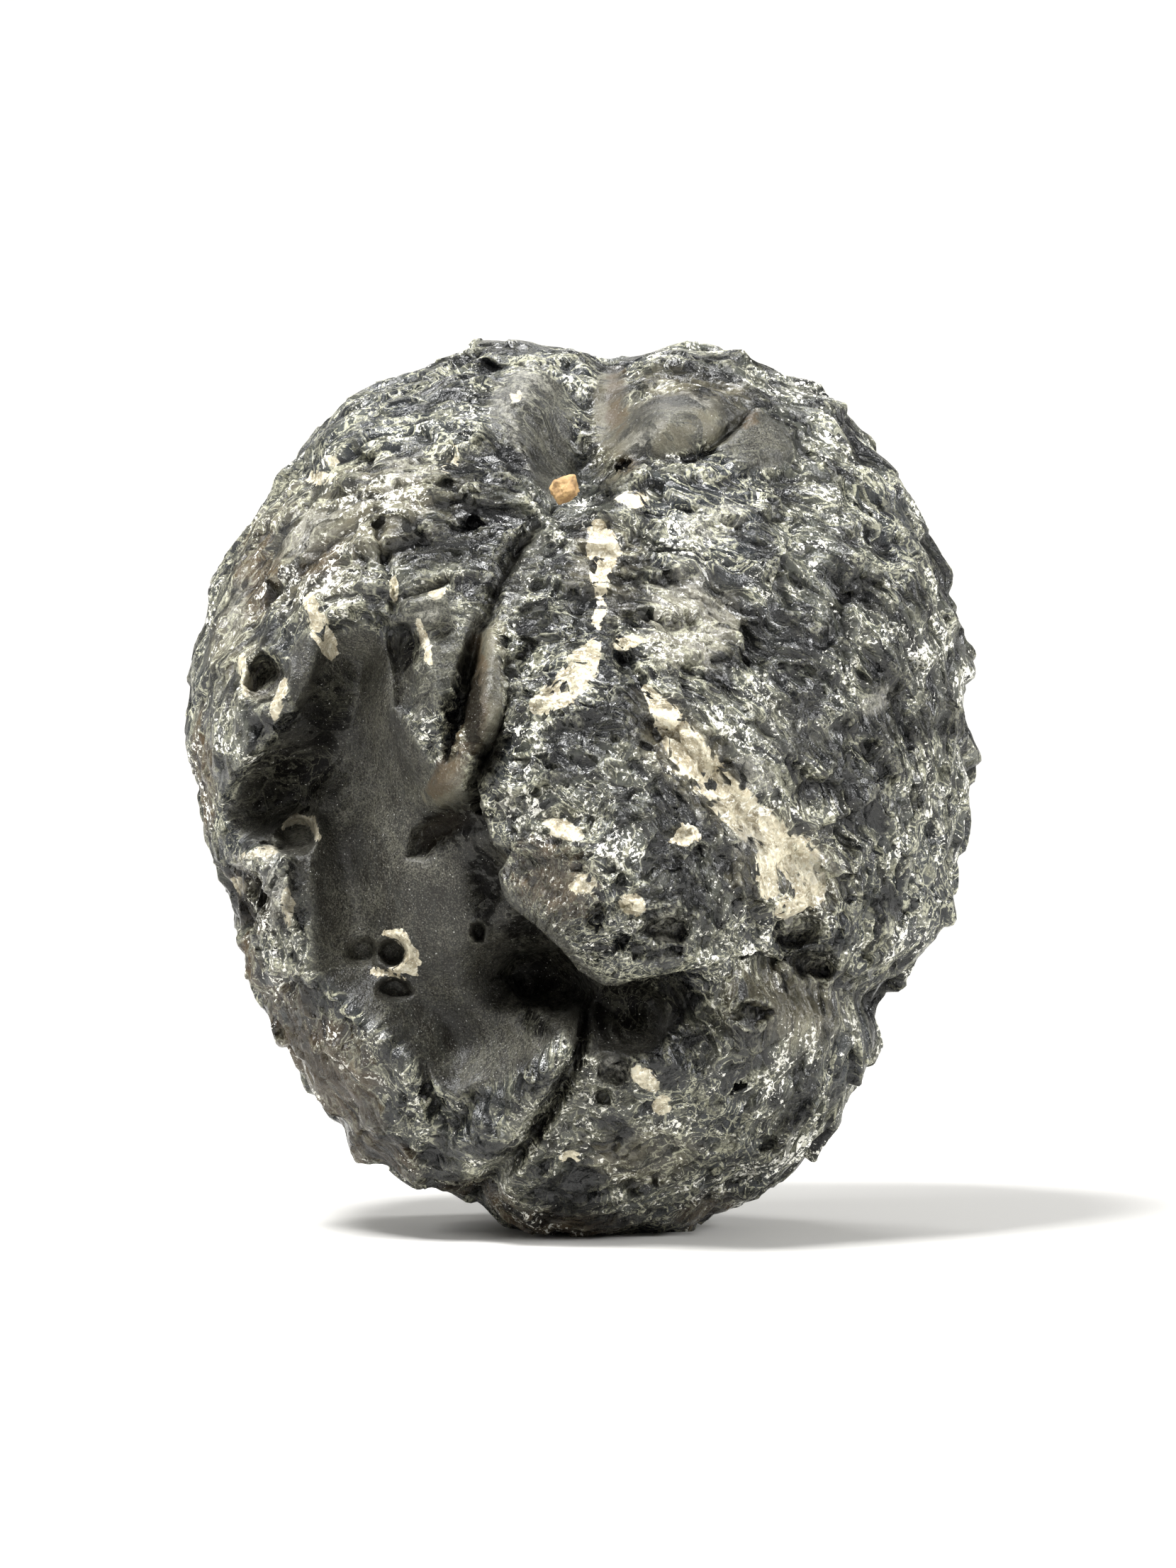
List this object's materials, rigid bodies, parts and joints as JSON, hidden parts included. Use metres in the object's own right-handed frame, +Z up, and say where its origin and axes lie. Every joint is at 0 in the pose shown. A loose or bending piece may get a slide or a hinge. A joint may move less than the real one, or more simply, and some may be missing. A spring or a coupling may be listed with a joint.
{
  "type": "rough obsidian nodule",
  "caption": "Rough dark obsidian nodule with a smooth hollow, an overhanging plate, a cleft and gas pits; stands on a small flat at its foot.",
  "frame": {"origin": "on the surface it stands on, under the middle of its box", "axes": "+Z up, the worked face with the plate and the hollow towards -Y, +X to the right of that face"},
  "size_m": [0.041, 0.0368, 0.0456],
  "materials": {
    "obsidian": "glossy",
    "sandstone": "matte"
  },
  "bodies": {
    "root": {"nodule": "obsidian", "lodged_grain": "sandstone"}
  },
  "joints": []
}
